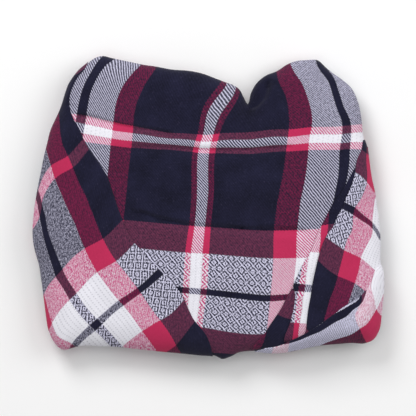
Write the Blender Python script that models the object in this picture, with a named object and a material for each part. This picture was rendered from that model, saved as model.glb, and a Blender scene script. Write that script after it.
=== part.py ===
"""A plaid scarf folded into a flat bundle, with its hidden layers as one solid and a thin wall for each stretch of
cloth that shows. It lies on its flat underside, +Z up, with +Y towards the tucked edge. Lengths are in metres, and
the tables are in millimetres."""

import math

import bmesh
import bpy
import numpy as np
from mathutils import Matrix

MM = 0.001

# Cloth
CLOTH = 1.5 * MM  # one thickness of the brushed twill
SEAM_GAP = 0.5 * MM  # between one cloth and the next at their points, 0.3 mm at the middle of a facet
STEP = CLOTH + SEAM_GAP  # how far one more cloth underneath lifts a stretch

# Heights of the bundle
RIM_HEIGHT = 22 * MM  # where the bundle is widest
SHOULDER_HEIGHT = 36 * MM  # where the rounded edge meets the top
SHOULDER = 26 * MM  # how far in from the rim that is
DOME = 5 * MM  # how much higher the middle is
DOME_REACH = 95 * MM  # how far in from the rim the dome levels out

# The cover's edge under the bundle's widest line
TUCK_HEIGHT = 13 * MM
TUCK_IN = 9 * MM
TUCK_END = 15 * MM
TUCK_TURNS = (0.2, 0.45, 0.7, 0.9, 1.0)  # shares of a quarter turn

# The hidden layers
CORE_SINK = STEP + 0.7 * MM  # from the cover's outer face to the hidden layers, at the rim
CORE_ROOM = 1.3 * MM  # left under the top of the cover for its creases
LEAF_HEIGHT = 3.2 * MM
LEAF_GROOVE = 2.6 * MM
LEAF_INSETS = (5.5 * MM, 3.2 * MM, 4.6 * MM)  # of each folded leaf from the rim, from the floor up
LEAF_WANDER = 1.1 * MM  # how far a leaf's edge strays from that
LEAF_EDGE = ((1, 0), (0.15, 0.2), (0, 0.5), (0.15, 0.8))  # a leaf's rounded edge: share of the groove, of its height
NECK_INSET = 19 * MM
NOTCH_ROOM = 2.5 * MM  # how much deeper the notch is in the hidden layers
NOTCH_SPREAD = 1.3  # rows of the outline to each side that this fades over
LEAF_TWIST = 1.7  # radians from one leaf's straying to the next one's
CORE_RAYS = 106  # two for each row of the outline
CORE_TURNS = (0.8, 0.5, 0.25)  # shares of a quarter turn, from the neck up to the rim
CORE_TOP_SHARES = (0, 0.02, 0.06, 0.13, 0.22, 0.4, 0.6, 0.8, 1)  # of the way from the rim to the middle
CORE_SHOULDER_SHARE = 0.13  # past which the room under the cover is whole

# Meshes
PANEL_COLUMNS = 28
PANEL_ROWS = 30
PANEL_CROWDING = 0.62  # how much closer the panel's rows are at its rolled edges
WRAP_ROWS = 10
LIFT_KEPT = 0.375  # share of a wrap's width that stays lifted before it settles to its rim
LEFT_WRAP_SECTIONS = 28
RIGHT_WRAP_SECTIONS = 20
LOWER_FOLD_SECTIONS = 16
INNER_SECTIONS = 10
INNER_ROWS = 4
MERGE = 0.001 * MM

# The outline seen from above, clockwise from the tucked edge's left end: x, y
OUTLINE = (
    (-106, 152),
    (-87, 148),
    (-55, 142),
    (-17, 137),
    (17, 126),
    (31, 118),
    (36, 110),
    (39, 104),
    (43, 114),
    (48, 124),
    (57, 131),
    (69, 137),
    (86, 146),
    (100, 148),
    (110, 147),
    (118, 139),
    (134, 128),
    (144, 119),
    (150, 106),
    (155, 73),
    (160, 57),
    (164, 30),
    (170, -2),
    (172, -42),
    (175, -62),
    (176, -84),
    (173, -108),
    (170, -124),
    (160, -134),
    (130, -136),
    (110, -138),
    (84, -143),
    (47, -144),
    (31, -146),
    (14, -152),
    (-4, -148),
    (-49, -143),
    (-89, -139),
    (-128, -138),
    (-144, -141),
    (-155, -133),
    (-160, -122),
    (-163, -105),
    (-166, -81),
    (-169, -57),
    (-174, -38),
    (-176, -20),
    (-174, 1),
    (-164, 52),
    (-158, 78),
    (-148, 99),
    (-133, 132),
    (-121, 145),
)

NOTCH_ROW = OUTLINE.index((39, 104))

# Soft troughs pressed into the centre panel: start x, start y, end x, end y, depth, half width
PANEL_TROUGHS = (
    (-122, 93, -48, 77, 1.2, 9),
    (-48, 68, 42, 61, 1.8, 9),
    (-63, -6, 6, -19, 2.0, 9),
    (6, -19, 88, -21, 2.0, 9),
    (39, 100, 30, 55, 2.2, 13),
)

# Where the centre panel's outer columns meet the rim: top x, top y, bottom x, bottom y
PANEL_LEFT = (-150, 95, -43, -144)
PANEL_RIGHT = (162, 43, 87, -143)

# Each stretch by its sections: visible edge x, y, rim x, y, cloths under the edge, cloths under the rim
LEFT_WRAP = (
    (-120, 146, -125, 141, 1, 1),
    (-131, 131, -140, 119, 1, 1),
    (-137, 119, -147, 102, 1.2, 1.2),
    (-139, 106, -155, 85, 1.2, 1.2),
    (-134, 87, -162, 60, 1, 0.6),
    (-125, 69, -167, 38, 1, 0),
    (-109, 45, -172, 13, 1, 0),
    (-95, 15, -176, -22, 1, 0),
    (-85, -13, -170, -55, 1, 0),
    (-76, -32, -166, -81, 1, 0),
    (-58, -53, -160, -122, 1, 0),
    (-46, -64, -149, -140, 1, 0),
    (-40, -71, -137, -139, 1, 0),
    (-33, -78, -120, -138, 1, 0),
    (-20, -100, -85, -139, 1, 0.4),
    (-14, -112, -49, -143, 1, 1),
    (-7, -120, -24, -146, 1, 1),
    (3, -139, 4, -149, 1, 1),
)
RIGHT_WRAP = (
    (155, 65, 158, 62, 1, 1),
    (148, 46, 162, 41, 1, 1),
    (136, 21, 166, 18, 1, 1),
    (123, -2, 169, -8, 1, 0.5),
    (115, -32, 171, -33, 2, 0),
    (111, -53, 175, -60, 2, 0),
    (107, -65, 176, -78, 3, 0),
    (102, -87, 174, -100, 3, 0),
    (99, -104, 171, -120, 3, 0),
    (97, -120, 160, -134, 3, 0),
    (95, -126, 142, -136, 3, 0),
)
LOWER_RIGHT_FOLD = (
    (175, -64, 176, -68, 1, 1),
    (164, -74, 176, -84, 1.6, 1),
    (153, -82, 174, -100, 3, 1.3),
    (141, -95, 171, -120, 4, 1.4),
    (129, -105, 160, -134, 4, 1.4),
    (115, -113, 145, -135, 4, 1.4),
    (103, -122, 125, -136, 4.2, 1.4),
    (88, -132, 102, -139, 4, 1.2),
    (62, -139, 70, -144, 2.2, 1.2),
    (44, -142, 47, -144, 1, 1),
)

# Each inner layer by its sections: visible edge x, y, hidden edge x, y, cloths under it
INNER_RIGHT_LAYER = (
    (109, -25, 132, -25, 1),
    (101, -44, 128, -44, 1),
    (94, -57, 125, -58, 1),
    (88, -71, 121, -73, 1),
    (82, -82, 119, -84, 2),
    (87, -95, 117, -97, 2),
    (87, -110, 114, -110, 2),
    (83, -123, 108, -124, 2),
)
CORNER_TAIL = (
    (82, -84, 108, -89, 1),
    (77, -92, 107, -97, 1),
    (73, -101, 106, -105, 1),
    (63, -116, 103, -114, 1),
    (55, -126, 98, -124, 1),
    (46, -138, 90, -133, 1),
)

# Colours and finish of each stretch: red, green, blue, roughness
FINISHES = {
    "folded_core": (0.10, 0.05, 0.10, 0.9),
    "centre_panel": (0.03, 0.03, 0.06, 0.9),
    "left_wrap": (0.45, 0.08, 0.16, 0.9),
    "right_wrap": (0.62, 0.34, 0.42, 0.9),
    "inner_right_layer": (0.75, 0.75, 0.80, 0.9),
    "corner_tail": (0.12, 0.03, 0.09, 0.9),
    "lower_right_fold": (0.35, 0.33, 0.42, 0.9),
}


def spline(points, at):
    """Points on a smooth curve through a table's rows, at places counted in rows."""
    points = np.array(points, float)
    at = np.clip(np.atleast_1d(np.array(at, float)), 0, len(points) - 1)
    steps = np.linalg.norm(np.diff(points[:, :2], axis=0), axis=1)
    knots = np.concatenate([[0], np.cumsum(np.maximum(steps, 1e-6))])
    slopes = np.gradient(points, knots, axis=0)
    before = np.minimum(at.astype(int), len(points) - 2)
    share = (at - before)[:, None]
    width = (knots[before + 1] - knots[before])[:, None]
    curve = points[before] * (1 + 2 * share) * (1 - share) ** 2
    curve += points[before + 1] * share**2 * (3 - 2 * share)
    curve += slopes[before] * width * share * (1 - share) ** 2
    curve += slopes[before + 1] * width * share**2 * (share - 1)
    return curve


class Rim:
    """The bundle's outline, clockwise, with places on it counted in rows of its table."""

    WRAP = 3  # rows repeated past each end, so that the curve closes smoothly
    FINE = 8  # straight pieces for each row
    NEARBY = 0.25  # rows to each side that a direction is taken over

    def __init__(self, table):
        self.rows = len(table)
        self.table = [table[i % self.rows] for i in range(-self.WRAP, self.rows + self.WRAP + 1)]
        self.stations = np.arange(self.rows * self.FINE) / self.FINE
        self.line = self.point(self.stations)

    def point(self, station):
        return spline(self.table, np.mod(station, self.rows) + self.WRAP) * MM

    def inward(self, station):
        """Unit vectors that point into the bundle."""
        along = self.point(np.add(station, self.NEARBY)) - self.point(np.subtract(station, self.NEARBY))
        along /= np.linalg.norm(along, axis=1)[:, None]
        return np.stack([along[:, 1], -along[:, 0]], axis=1)

    def nearest(self, x, y):
        """The station nearest to a place given in millimetres."""
        away = np.linalg.norm(self.line - np.array([x, y]) * MM, axis=1)
        return float(self.stations[away.argmin()])

    def distance(self, places):
        """How far each place inside the outline is from it."""
        start = self.line
        run = np.roll(start, -1, axis=0) - start
        away = places[:, None, :] - start[None]
        share = np.clip((away * run).sum(2) / (run * run).sum(1), 0, 1)
        return np.linalg.norm(away - share[..., None] * run, axis=2).min(axis=1)


RIM = Rim(OUTLINE)


def smoothstep(share):
    share = np.clip(share, 0, 1)
    return share * share * (3 - 2 * share)


def cover_height(places, lift):
    """Height of the outer face of a cloth that has so many cloths under it."""
    inset = RIM.distance(places)
    rise = np.asarray(lift) * STEP
    slope = np.clip((SHOULDER - inset) / (SHOULDER + rise), 0, 1)
    edge = (SHOULDER_HEIGHT - RIM_HEIGHT + rise) * np.sqrt(1 - slope**2)
    return RIM_HEIGHT + edge + DOME * smoothstep(inset / DOME_REACH)


def trough_depth(places, troughs):
    """How deep the soft troughs of a table press a cloth down at each place."""
    depth = np.zeros(len(places))
    for x0, y0, x1, y1, deep, half_width in troughs:
        start = np.array([x0, y0]) * MM
        run = np.array([x1 - x0, y1 - y0]) * MM
        share = np.clip((places - start) @ run / (run @ run), 0, 1)
        away = np.linalg.norm(places - start - share[:, None] * run, axis=1)
        depth = np.maximum(depth, deep * MM * np.exp(-((away / (half_width * MM)) ** 2)))
    return depth


def side_points(station, lift):
    """A cover's points from just below the rim, round the side and tucked under."""
    rim = RIM.point(station)[0]
    inward = RIM.inward(station)[0]
    rise = lift * STEP
    points = []
    for share in TUCK_TURNS:
        turn = share * math.pi / 2
        inset = TUCK_IN - (TUCK_IN + rise) * math.cos(turn)
        height = RIM_HEIGHT - (RIM_HEIGHT - TUCK_HEIGHT + rise) * math.sin(turn)
        points.append((*(rim + inward * inset), height))
    points.append((*(rim + inward * TUCK_END), points[-1][2]))
    return points


def new_object(name, bm):
    mesh = bpy.data.meshes.new(name)
    bm.to_mesh(mesh)
    bm.free()
    mesh.shade_smooth()
    red, green, blue, roughness = FINISHES[name]
    material = bpy.data.materials.new(name)
    material.use_nodes = True
    shader = material.node_tree.nodes["Principled BSDF"]
    shader.inputs["Base Color"].default_value = (red, green, blue, 1)
    shader.inputs["Roughness"].default_value = roughness
    shader.inputs["Metallic"].default_value = 0
    mesh.materials.append(material)
    obj = bpy.data.objects.new(name, mesh)
    bpy.context.scene.collection.objects.link(obj)
    return obj


def cloth_wall(name, sections):
    """A wall one cloth thick, inwards from sections of points on its outer face."""
    across, along = len(sections[0]) - 1, len(sections) - 1
    bm = bmesh.new()
    bmesh.ops.create_grid(bm, x_segments=across, y_segments=along, size=1)
    for vert in bm.verts:
        i = round((vert.co.x + 1) / 2 * across)
        j = round((vert.co.y + 1) / 2 * along)
        vert.co = sections[j][i]
    bm.normal_update()
    upward = sum(f.normal.z * f.calc_area() for f in bm.faces if f.calc_center_median().z > RIM_HEIGHT)
    if upward < 0:
        bmesh.ops.reverse_faces(bm, faces=bm.faces)
    obj = new_object(name, bm)
    wall = obj.modifiers.new("cloth", "SOLIDIFY")
    wall.thickness = CLOTH
    wall.offset = -1
    return obj


def wrap(name, table, sections):
    """A stretch that comes over the top from its visible edge to the rim, and round the side."""
    rows = spline(table, np.linspace(0, len(table) - 1, sections + 1))
    stations = [RIM.nearest(x, y) for x, y in np.array(table)[:, 2:4]]
    stations = np.interp(np.linspace(0, len(table) - 1, sections + 1), np.arange(len(table)), stations)
    built = []
    for row, station in zip(rows, stations, strict=True):
        edge = row[:2] * MM
        rim = RIM.point(station)[0]
        share = np.sin(np.linspace(0, math.pi / 2, WRAP_ROWS + 1))
        settle = (share - LIFT_KEPT) / (1 - LIFT_KEPT)
        lift = row[4] + (row[5] - row[4]) * smoothstep(settle)
        flat = edge + (rim - edge) * share[:, None]
        outward = -RIM.inward(station)[0] * row[5] * STEP
        places = flat + outward * share[:, None]
        heights = cover_height(flat, lift)
        built.append([(*p, z) for p, z in zip(places, heights, strict=True)] + side_points(station, row[5]))
    return cloth_wall(name, built)


def inner_layer(name, table):
    """A layer that lies flat between two others, from its visible edge to its hidden one."""
    rows = spline(table, np.linspace(0, len(table) - 1, INNER_SECTIONS + 1))
    built = []
    for row in rows:
        share = np.linspace(0, 1, INNER_ROWS + 1)[:, None]
        places = (row[:2] + (row[2:4] - row[:2]) * share) * MM
        heights = cover_height(places, row[4])
        built.append([(*p, z) for p, z in zip(places, heights, strict=True)])
    return cloth_wall(name, built)


def centre_panel():
    """The stretch with upright stripes, rolled over the tucked edge and over the bottom edge."""
    left_top, left_bottom = RIM.nearest(*PANEL_LEFT[:2]), RIM.nearest(*PANEL_LEFT[2:])
    right_top, right_bottom = RIM.nearest(*PANEL_RIGHT[:2]), RIM.nearest(*PANEL_RIGHT[2:])
    tops = np.concatenate(
        [
            np.linspace(left_top - RIM.rows, NOTCH_ROW, PANEL_COLUMNS // 2, endpoint=False),
            np.linspace(NOTCH_ROW, right_top, PANEL_COLUMNS // 2 + 1),
        ]
    )
    bottoms = np.linspace(left_bottom, right_bottom, PANEL_COLUMNS + 1)
    even = np.linspace(0, 1, PANEL_ROWS + 1)
    share = even - PANEL_CROWDING * np.sin(2 * math.pi * even) / (2 * math.pi)
    built = []
    for top, bottom in zip(tops, bottoms, strict=True):
        start, end = RIM.point(top)[0], RIM.point(bottom)[0]
        places = start + (end - start) * share[:, None]
        heights = cover_height(places, 0) - trough_depth(places, PANEL_TROUGHS)
        over = [(*p, z) for p, z in zip(places, heights, strict=True)]
        built.append(side_points(top, 0)[::-1] + over + side_points(bottom, 0))
    return cloth_wall("centre_panel", built)


def core_profile(angle):
    """The hidden layers' side from the floor up, as insets from the rim and heights, at one place on the rim."""
    rings = []
    for i, leaf_inset in enumerate(LEAF_INSETS):
        inset = leaf_inset + LEAF_WANDER * math.sin((2 + i) * angle + LEAF_TWIST * i)
        low = i * LEAF_HEIGHT
        rings += [(inset + groove * LEAF_GROOVE, low + height * LEAF_HEIGHT) for groove, height in LEAF_EDGE]
    rings.append((NECK_INSET, len(LEAF_INSETS) * LEAF_HEIGHT))
    rings.append((NECK_INSET, TUCK_HEIGHT + CORE_SINK))
    for share in CORE_TURNS:
        turn = share * math.pi / 2
        inset = TUCK_IN - (TUCK_IN - CORE_SINK) * math.cos(turn)
        rings.append((inset, RIM_HEIGHT - (RIM_HEIGHT - TUCK_HEIGHT - CORE_SINK) * math.sin(turn)))
    return rings


def core_loops():
    """Closed loops of points round the hidden layers, from the floor up to the middle of their top."""
    stations = np.linspace(0, RIM.rows, CORE_RAYS, endpoint=False)
    rim, inward = RIM.point(stations), RIM.inward(stations)
    angles = np.arctan2(rim[:, 1], rim[:, 0])
    profiles = np.array([core_profile(angle) for angle in angles])
    loops = []
    for k in range(profiles.shape[1]):
        places = rim + inward * profiles[:, k, :1]
        loops.append(np.column_stack([places, profiles[:, k, 1]]))
    sink = CORE_SINK + NOTCH_ROOM * np.exp(-(((stations - NOTCH_ROW) / NOTCH_SPREAD) ** 2))
    body = rim + inward * sink[:, None]
    for share in CORE_TOP_SHARES:
        places = body * (1 - share)
        inset = np.maximum(RIM.distance(places) - sink, 0)
        slope = np.clip(1 - inset / (SHOULDER - sink), 0, 1)
        edge = (SHOULDER_HEIGHT - CORE_SINK - RIM_HEIGHT) * np.sqrt(1 - slope**2)
        dome = DOME * smoothstep(inset / DOME_REACH)
        room = CORE_ROOM * smoothstep(share / CORE_SHOULDER_SHARE)
        loops.append(np.column_stack([places, RIM_HEIGHT + edge + dome - room]))
    return loops


def folded_core():
    """The hidden layers: leaves folded at the edges below, and above them a rounded body under the cover."""
    loops = core_loops()
    bm = bmesh.new()
    bmesh.ops.create_grid(bm, x_segments=CORE_RAYS, y_segments=len(loops) - 1, size=1)
    for vert in bm.verts:
        ray = round((vert.co.x + 1) / 2 * CORE_RAYS) % CORE_RAYS
        loop = round((vert.co.y + 1) / 2 * (len(loops) - 1))
        vert.co = loops[loop][ray]
    bmesh.ops.remove_doubles(bm, verts=bm.verts, dist=MERGE)
    bmesh.ops.holes_fill(bm, edges=[e for e in bm.edges if e.is_boundary])
    bmesh.ops.recalc_face_normals(bm, faces=bm.faces)
    return new_object("folded_core", bm)


def centre_over_origin(objects):
    """Moves every piece alike, so that the bundle's box is centred over the origin."""
    points = np.array([vert.co for obj in objects for vert in obj.data.vertices])
    middle = (points.min(axis=0) + points.max(axis=0)) / 2
    for obj in objects:
        obj.data.transform(Matrix.Translation((-middle[0], -middle[1], 0)))


def main():
    for obj in list(bpy.data.objects):
        bpy.data.objects.remove(obj)
    centre_over_origin(
        [
            folded_core(),
            centre_panel(),
            wrap("left_wrap", LEFT_WRAP, LEFT_WRAP_SECTIONS),
            wrap("right_wrap", RIGHT_WRAP, RIGHT_WRAP_SECTIONS),
            inner_layer("inner_right_layer", INNER_RIGHT_LAYER),
            inner_layer("corner_tail", CORNER_TAIL),
            wrap("lower_right_fold", LOWER_RIGHT_FOLD, LOWER_FOLD_SECTIONS),
        ]
    )


main()
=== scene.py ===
"""Dresses the folded plaid scarf: brushed twill with its woven checks, laid in a flat folded bundle.

Lengths in the tables are millimetres from the bundle's middle, +X to the right and +Y towards the tucked
edge. Cloth coordinates are millimetres too: "warp" counts across the upright stripes from the middle of
the narrow triple stripe, and "weft" counts down the bundle from the middle of the triple band."""

import math

import bmesh
import bpy
import numpy as np
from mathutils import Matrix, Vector


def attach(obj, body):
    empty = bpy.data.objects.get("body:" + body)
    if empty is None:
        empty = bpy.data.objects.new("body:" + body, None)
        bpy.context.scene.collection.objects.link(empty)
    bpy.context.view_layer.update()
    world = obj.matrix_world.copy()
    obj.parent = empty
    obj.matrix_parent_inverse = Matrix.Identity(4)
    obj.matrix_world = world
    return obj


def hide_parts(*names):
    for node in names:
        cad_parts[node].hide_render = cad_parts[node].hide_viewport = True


bl_info = {
    "name": "Folded plaid scarf",
    "version": (1, 0, 0),
    "blender": (4, 5, 0),
    "location": "View3D > Sidebar > Scarf",
    "description": "Builds a folded scarf of brushed plaid twill, piece by piece",
    "category": "Add Mesh",
}

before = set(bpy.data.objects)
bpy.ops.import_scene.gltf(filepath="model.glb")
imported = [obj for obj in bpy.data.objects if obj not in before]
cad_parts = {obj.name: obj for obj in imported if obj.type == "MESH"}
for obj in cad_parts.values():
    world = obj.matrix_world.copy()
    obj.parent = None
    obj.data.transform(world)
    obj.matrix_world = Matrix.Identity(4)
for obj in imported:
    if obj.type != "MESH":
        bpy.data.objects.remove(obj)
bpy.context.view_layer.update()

MM = 0.001
CLOTH_MAP = "cloth"
NAP_LAYER = "nap"
EDGE_DROOP = 0.85 * MM
SWELL = 0.22 * MM

# The bundle's outline from above, clockwise from the apex at the left:
# x, y, and how many cloths lie over the centre panel's rim there
OUTLINE = (
    (-107.4, 152.3, 0), (-97.9, 150.3, 0), (-88.4, 148.3, 0), (-76.4, 145.8, 0), (-64.4, 143.3, 0),
    (-56.4, 142.3, 0), (-37.4, 138.8, 0), (-18.4, 137.3, 0), (-5.4, 134.3, 0), (5.1, 130.3, 0),
    (15.6, 126.3, 0), (23.6, 123.3, 0), (29.6, 119.3, 0), (34.6, 110.3, 0), (38.1, 104.3, 0),
    (41.6, 115.3, 0), (46.6, 124.3, 0), (55.6, 132.3, 0), (67.6, 137.3, 0), (78.6, 144.3, 0),
    (85.1, 146.8, 0), (98.6, 148.3, 0), (107.6, 148.3, 0), (116.6, 140.8, 0), (124.6, 134.3, 0),
    (132.6, 128.8, 0), (142.6, 119.3, 0), (148.6, 106.3, 0), (152.1, 89.3, 0), (154.1, 73.3, 0.3),
    (158.6, 59.3, 1), (160.2, 47.3, 1), (162.6, 30.3, 1), (166.1, 14.3, 0.9), (168.3, -1.7, 0.6),
    (170.1, -16.7, 0.3), (171.1, -31.7, 0), (171.1, -41.7, 0), (171.8, -54.7, 0.5), (174.6, -64.7, 1),
    (174.9, -73.7, 1), (174.6, -81.7, 1), (173.8, -93.7, 1.2), (172.6, -104.7, 1.35),
    (169.6, -122.7, 1.4), (163.6, -131.7, 1.4), (156.6, -134.7, 1.4), (140.6, -134.7, 1.4),
    (128.6, -135.7, 1.4), (108.6, -137.7, 1.4), (95.6, -140.2, 1.3), (82.6, -143.2, 1.2),
    (63.6, -145.3, 1.2), (45.6, -143.7, 1), (37.6, -143.7, 0.7), (29.6, -144.7, 0.5),
    (21.6, -148.7, 0.5), (12.6, -151.7, 0.9), (5.6, -148.7, 1), (-9.4, -147.2, 1), (-23.4, -145.7, 1),
    (-50.4, -143.2, 1), (-70.4, -141, 0.7), (-90.4, -138.7, 0.3), (-109.4, -137.7, 0),
    (-129.4, -137.7, 0), (-137.4, -139.7, 0), (-145.4, -141.7, 0), (-151.4, -138.7, 0),
    (-155.4, -133.7, 0), (-160.4, -123.7, 0), (-163.9, -104.7, 0), (-165.4, -92.7, 0),
    (-166.9, -80.7, 0), (-168.6, -68.7, 0), (-170.4, -56.7, 0), (-173.4, -46.7, 0), (-175.4, -38.7, 0),
    (-176.7, -29.7, 0), (-176.9, -19.7, 0), (-176.1, -8.7, 0), (-174.9, 1.3, 0), (-170.9, 25.3, 0),
    (-168.2, 38.3, 0.1), (-165.4, 52.3, 0.3), (-162.2, 65.3, 0.6), (-158.9, 78.3, 0.9),
    (-154.4, 88.3, 1.1), (-149.4, 99.3, 1.2), (-144.4, 115.3, 1.2), (-141.8, 122.8, 1.1),
    (-135.8, 132.3, 1), (-129.1, 140.3, 1), (-121.6, 146.6, 1), (-114.4, 150.8, 0.4),
)
NOTCH_ROW = 14

# Where the centre panel's outer columns begin and end on the rim: top x, top y, bottom x, bottom y
PANEL_LEFT = (-151.4, 95.3, -44.4, -143.7)
PANEL_RIGHT = (161.1, 43.3, 85.6, -142.7)

# Each wrap by its sections: visible edge x, y, rim x, y, cloths under the edge, cloths under the rim
LEFT_WRAP = (
    (-121.4, 146.6, -123.4, 144.3, 0.6, 0.6), (-125.4, 139.3, -131.9, 135.8, 1, 1),
    (-131.8, 131.8, -140.4, 121.3, 1, 1), (-137, 122.3, -146.4, 107.3, 1.2, 1.2),
    (-140.1, 112.3, -151.9, 94.3, 1.2, 1.2), (-140.1, 101.3, -157.4, 82.3, 1.2, 1),
    (-134.9, 87.3, -162.9, 62.3, 1, 0.6), (-129.4, 77.3, -166.4, 48.3, 1, 0.3),
    (-125.9, 68.8, -168.4, 37.3, 1, 0.1), (-120.1, 58.8, -170.9, 25.3, 1, 0),
    (-110.4, 45.3, -173.4, 11.3, 1, 0), (-102.4, 32.3, -175.4, -3.7, 1, 0),
    (-96.4, 15.3, -176.9, -20.7, 1, 0), (-90.4, -2.7, -174.9, -40.7, 1, 0),
    (-86.4, -12.7, -170.9, -54.7, 1, 0), (-77.4, -31.7, -167.4, -78.7, 1, 0),
    (-68.4, -41.7, -164.4, -100.7, 1, 0), (-59.4, -52.7, -160.9, -122.7, 1, 0),
    (-47.4, -63.7, -152.4, -137.7, 1, 0), (-41.4, -70.7, -139.4, -140.2, 1, 0),
    (-34.4, -77.7, -122.4, -137.7, 1, 0), (-27.4, -86.7, -103.4, -138, 1, 0.1),
    (-21.4, -99.7, -85.4, -139.3, 1, 0.4), (-15.4, -111.7, -51.4, -143.2, 1, 1),
    (-8.4, -119.7, -25.4, -145.7, 1, 1), (-3.4, -126.7, -11.4, -147, 1, 1),
    (1.6, -138.7, 2.6, -148.2, 1, 1),
)
RIGHT_WRAP = (
    (154.2, 68.3, 155.8, 68.3, 1, 0.6), (152.3, 58.3, 158.9, 57.3, 1, 1),
    (148.8, 50.8, 159.9, 50.3, 1.1, 1), (146.6, 43.3, 160.8, 42.3, 1.4, 1),
    (146.1, 36.3, 161.6, 34.8, 1.7, 1), (143.6, 27.3, 163.4, 26.3, 2, 1),
    (140.2, 18.3, 165.4, 17.3, 2, 0.93), (136.2, 9.3, 167, 7.8, 2, 0.76),
    (133.6, 1.3, 167.9, -0.2, 2, 0.62), (128.1, -7.7, 169.1, -9.7, 2, 0.45),
    (123.6, -18.7, 170.2, -20.7, 2, 0.25), (117.6, -26.7, 170.8, -29.7, 2, 0.05),
    (112.1, -38.7, 171.1, -40.7, 2, 0), (109.4, -47.7, 171.4, -50.7, 2, 0),
    (107.1, -56.7, 172.4, -59.2, 2.2, 0), (105.3, -64.7, 174.4, -70.7, 2.6, 0),
    (102.9, -75.7, 174.6, -84.7, 3, 0), (101.4, -86.7, 172.9, -100.7, 3, 0),
    (98.4, -103.7, 170.1, -119.7, 3, 0), (97.3, -113.7, 164.1, -130.7, 3, 0),
    (96.3, -122.7, 150.6, -134.7, 3, 0), (93.6, -127.7, 140.6, -134.7, 3, 0),
)
LOWER_RIGHT_FOLD = (
    (172.1, -56.7, 172.6, -58.7, 0.75, 0.75), (166.1, -61.7, 174.6, -67.7, 0.85, 0.9),
    (161.6, -72.7, 174.9, -77.7, 1, 1), (156.4, -81.7, 174.4, -84.7, 1.4, 1),
    (150.1, -88.7, 173.4, -98.7, 2.6, 1.25), (143.6, -92.8, 171.9, -109.7, 3.4, 1.35),
    (138.1, -96.3, 169.6, -122.7, 4, 1.4), (133.1, -99.3, 164.6, -130.7, 4, 1.4),
    (126.6, -104.5, 157.1, -134.7, 4, 1.4), (118.3, -110.2, 146.6, -134.7, 4, 1.4),
    (110.1, -116.5, 137.6, -134.8, 4, 1.4), (101.4, -122, 123.6, -136, 4, 1.4),
    (93.9, -126.7, 110.6, -137.5, 4, 1.35), (86.6, -130.3, 100.6, -139, 3.8, 1.3),
    (79.6, -133.7, 89.6, -141.7, 3.4, 1.2), (74.6, -136.2, 82.6, -143.2, 2.8, 1.2),
    (67.6, -138.7, 73.6, -144.5, 2.4, 1.2), (58.6, -140, 62.6, -145.3, 2, 1.1),
    (44.6, -141, 46.6, -143.7, 1.1, 1),
)

# Each inner layer by its sections: visible edge x, y, hidden edge x, y, cloths under it
INNER_RIGHT_LAYER = (
    (145.6, 40.3, 152.6, 37.3, 1), (140.6, 31.3, 151.6, 28.3, 1), (135, 20.9, 150.6, 18.3, 1),
    (130.6, 13.8, 148.6, 9.3, 1), (124.1, 6.3, 145.6, 0.3, 1), (120.1, -1.7, 142.6, -8.7, 1),
    (115, -11.7, 137.6, -17.7, 1), (111.6, -17.7, 134.6, -22.7, 1), (106.9, -28.3, 131.6, -31.7, 1),
    (101.4, -42.7, 127.6, -43.7, 1), (93.3, -56.3, 124.6, -57.7, 1), (87.6, -68.7, 120.6, -70.7, 1),
    (83.6, -78.2, 118.6, -79.7, 1.5), (85.6, -84.7, 117.6, -86.7, 2), (85.1, -94.7, 116.6, -96.7, 2),
    (83.1, -105.7, 113.6, -108.7, 2), (81.1, -113, 111.6, -116.7, 2), (78.6, -120.3, 109.6, -124.7, 2),
    (75.6, -127.3, 102.6, -131.7, 2), (74.6, -133.7, 95.6, -135.7, 2),
)
CORNER_TAIL = (
    (82.6, -79.7, 107.6, -85.7, 1), (76, -91.7, 106.6, -96.7, 1), (71.4, -100.8, 105.6, -104.7, 1),
    (66.3, -108.5, 102.6, -111.7, 1), (59.6, -118.2, 99.6, -119.7, 1), (55.1, -125.3, 96.6, -124.7, 1),
    (51, -129.5, 93.6, -128.7, 1), (45.9, -135.5, 90.6, -132.7, 1), (41.1, -141.7, 86.6, -136.7, 1),
)

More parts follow.
